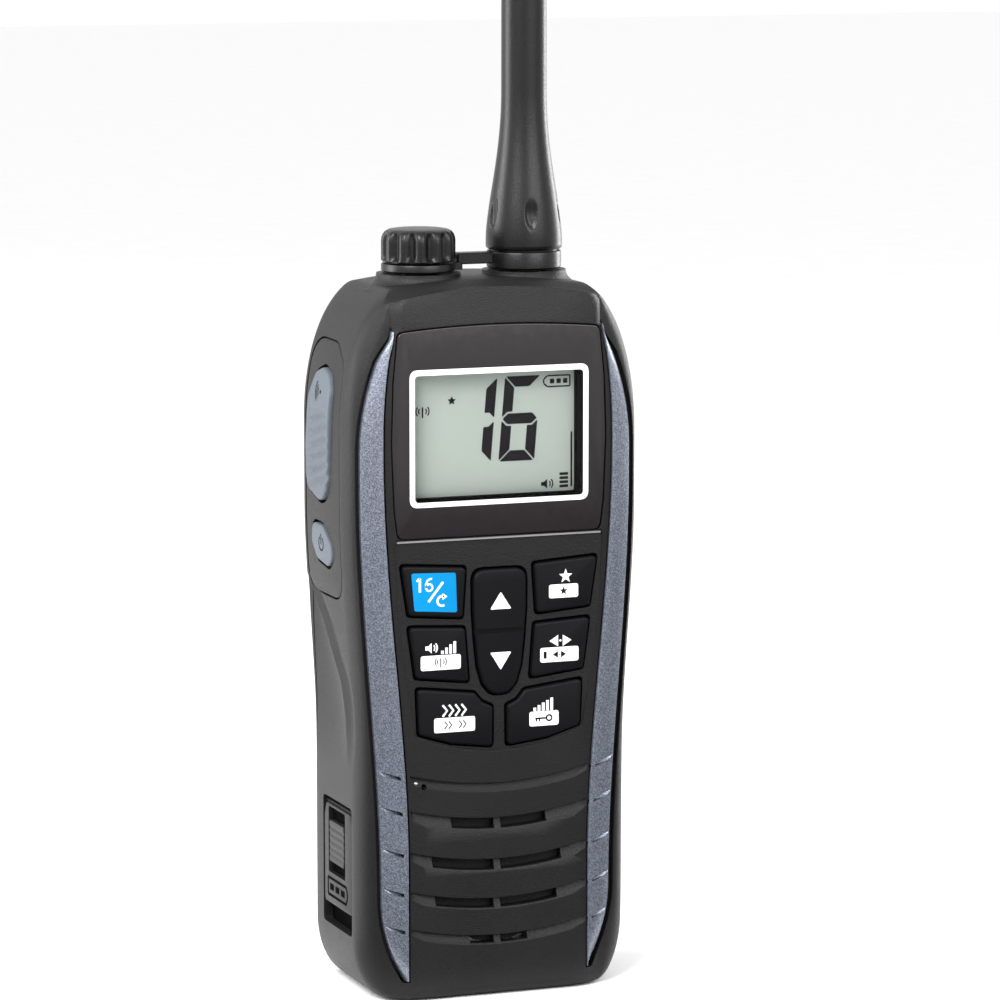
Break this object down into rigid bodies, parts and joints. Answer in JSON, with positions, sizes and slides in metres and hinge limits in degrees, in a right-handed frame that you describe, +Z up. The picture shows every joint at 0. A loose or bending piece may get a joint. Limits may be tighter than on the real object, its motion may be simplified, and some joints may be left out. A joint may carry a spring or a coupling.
{
  "type": "handheld marine radio",
  "caption": "Handheld marine radio with a display, front keys, side talk button, screw-on whip antenna, sealed jack cap, rear battery pack and belt clip.",
  "frame": {"origin": "centre of the flat base that the radio stands on", "axes": "+Z up along the antenna, -Y out of the front face, +X towards the radio's right-hand side seen from the front"},
  "size_m": [0.0573, 0.0405, 0.298],
  "materials": {
    "casing": "spark-textured dark grey",
    "lens": "glossy black",
    "lcd": "pale grey-green liquid crystal",
    "key": "satin black",
    "key_blue": "satin black with a bright blue field",
    "trim": "silver-blue metallic flake",
    "button": "satin light blue-grey",
    "rubber": "matt black",
    "board": "green solder mask",
    "steel": "bright steel",
    "brass": "plated brass",
    "black_plastic": "matt black",
    "cloth": "woven acoustic cloth",
    "cell": "film-wrapped cell"
  },
  "bodies": {
    "radio": {"front_case": "casing", "rear_case": "casing", "display_lens": "lens", "side_trim_left": "trim", "side_trim_right": "trim", "side_panel": "rubber", "cap_tether": "rubber", "lcd_panel": "lcd", "lcd_holder": "black_plastic", "main_board": "board", "key_board": "board", "keypad_mat": "rubber", "rf_shield": "steel", "speaker_frame": "steel", "speaker_cone": "black_plastic", "speaker_magnet": "steel", "speaker_cloth": "cloth", "microphone": "steel", "microphone_boot": "rubber", "ptt_switch": "black_plastic", "power_switch": "black_plastic", "usb_socket": "steel", "speaker_mic_jack": "black_plastic", "contact_block": "black_plastic", "antenna_socket": "brass", "case_seal": "rubber", "charge_hinge_pin": "steel", "case_screw_top_left": "steel", "case_screw_top_right": "steel", "case_screw_bottom_left": "steel", "case_screw_bottom_right": "steel"},
    "ptt": {"ptt_button": "button"},
    "power": {"power_button": "button"},
    "key_channel_16_body": {"key_channel_16": "key_blue"},
    "key_volume_body": {"key_volume": "key"},
    "key_scan_body": {"key_scan": "key"},
    "key_favourite_body": {"key_favourite": "key"},
    "key_channel_body": {"key_channel": "key"},
    "key_power_level_body": {"key_power_level": "key"},
    "rocker": {"rocker_key": "key"},
    "cap_carrier": {"jack_cap_seal": "rubber"},
    "cap": {"jack_cap": "rubber"},
    "antenna_carrier": {"antenna_seal": "rubber"},
    "antenna": {"antenna_boot": "rubber", "antenna_core": "brass", "antenna_connector": "brass"},
    "cover": {"charge_cover": "casing"},
    "cover_lock": {"charge_latch": "casing"},
    "battery": {"battery_case": "casing", "battery_lid": "casing", "battery_cell": "cell", "battery_board": "board", "clip_base": "casing", "clip_pin": "steel", "clip_spring": "steel", "clip_screw_lower": "steel", "clip_screw_upper": "steel"},
    "pack_lock": {"battery_latch": "button"},
    "clip": {"belt_clip": "casing"}
  },
  "joints": [
    {"name": "ptt_press", "type": "slide", "parent": "radio", "child": "ptt", "axis": [1, 0, 0], "range_m": [0, 0.0012], "stiffness_N_per_m": 700, "springref_m": -0.001},
    {"name": "power_press", "type": "slide", "parent": "radio", "child": "power", "axis": [1, 0, 0], "range_m": [0, 0.0007], "stiffness_N_per_m": 600, "springref_m": -0.0008},
    {"name": "key_channel_16_press", "type": "slide", "parent": "radio", "child": "key_channel_16_body", "axis": [0, 1, 0], "range_m": [0, 0.0008], "stiffness_N_per_m": 500, "springref_m": -0.0008},
    {"name": "key_volume_press", "type": "slide", "parent": "radio", "child": "key_volume_body", "axis": [0, 1, 0], "range_m": [0, 0.0008], "stiffness_N_per_m": 500, "springref_m": -0.0008},
    {"name": "key_scan_press", "type": "slide", "parent": "radio", "child": "key_scan_body", "axis": [0, 1, 0], "range_m": [0, 0.0008], "stiffness_N_per_m": 500, "springref_m": -0.0008},
    {"name": "key_favourite_press", "type": "slide", "parent": "radio", "child": "key_favourite_body", "axis": [0, 1, 0], "range_m": [0, 0.0008], "stiffness_N_per_m": 500, "springref_m": -0.0008},
    {"name": "key_channel_press", "type": "slide", "parent": "radio", "child": "key_channel_body", "axis": [0, 1, 0], "range_m": [0, 0.0008], "stiffness_N_per_m": 500, "springref_m": -0.0008},
    {"name": "key_power_level_press", "type": "slide", "parent": "radio", "child": "key_power_level_body", "axis": [0, 1, 0], "range_m": [0, 0.0008], "stiffness_N_per_m": 500, "springref_m": -0.0008},
    {"name": "rocker_tilt", "type": "hinge", "parent": "radio", "child": "rocker", "pos_m": [0, -0.01255, 0.06795], "axis": [1, 0, 0], "range_deg": [-4, 4], "stiffness_Nm_per_rad": 0.03},
    {"name": "cap_lift", "type": "slide", "parent": "radio", "child": "cap_carrier", "axis": [0, 0, 1], "range_m": [0, 0.0025]},
    {"name": "cap_turn", "type": "hinge", "parent": "cap_carrier", "child": "cap", "pos_m": [-0.0101, 0, 0.136], "axis": [0, 0, 1], "range_deg": [0, 901]},
    {"name": "antenna_lift", "type": "slide", "parent": "radio", "child": "antenna_carrier", "axis": [0, 0, 1], "range_m": [0, 0.00353]},
    {"name": "antenna_turn", "type": "hinge", "parent": "antenna_carrier", "child": "antenna", "pos_m": [0.01045, 0, 0.137], "axis": [0, 0, 1], "range_deg": [0, 1801]},
    {"name": "cover_swing", "type": "hinge", "parent": "radio", "child": "cover", "pos_m": [-0.02525, 0, 0.0341], "axis": [0, 1, 0], "range_deg": [0, 100]},
    {"name": "cover_lock_slide", "type": "slide", "parent": "cover", "child": "cover_lock", "axis": [0, 0, 1], "range_m": [0, 0.0016]},
    {"name": "battery_lift_out", "type": "slide", "parent": "radio", "child": "battery", "axis": [0, 1, 0], "range_m": [0, 0.018]},
    {"name": "pack_lock_slide", "type": "slide", "parent": "battery", "child": "pack_lock", "axis": [0, 0, 1], "range_m": [0, 0.0022], "stiffness_N_per_m": 300, "springref_m": -0.0008},
    {"name": "clip_swing", "type": "hinge", "parent": "battery", "child": "clip", "pos_m": [0, 0.0202, 0.084], "axis": [1, 0, 0], "range_deg": [0, 12], "stiffness_Nm_per_rad": 0.8, "springref_deg": -8.59}
  ],
  "couplings": [
    {"joint": "cap_turn", "follows": "cap_lift", "rad_per_m": 6283.2},
    {"joint": "antenna_turn", "follows": "antenna_lift", "rad_per_m": 8904.7}
  ]
}
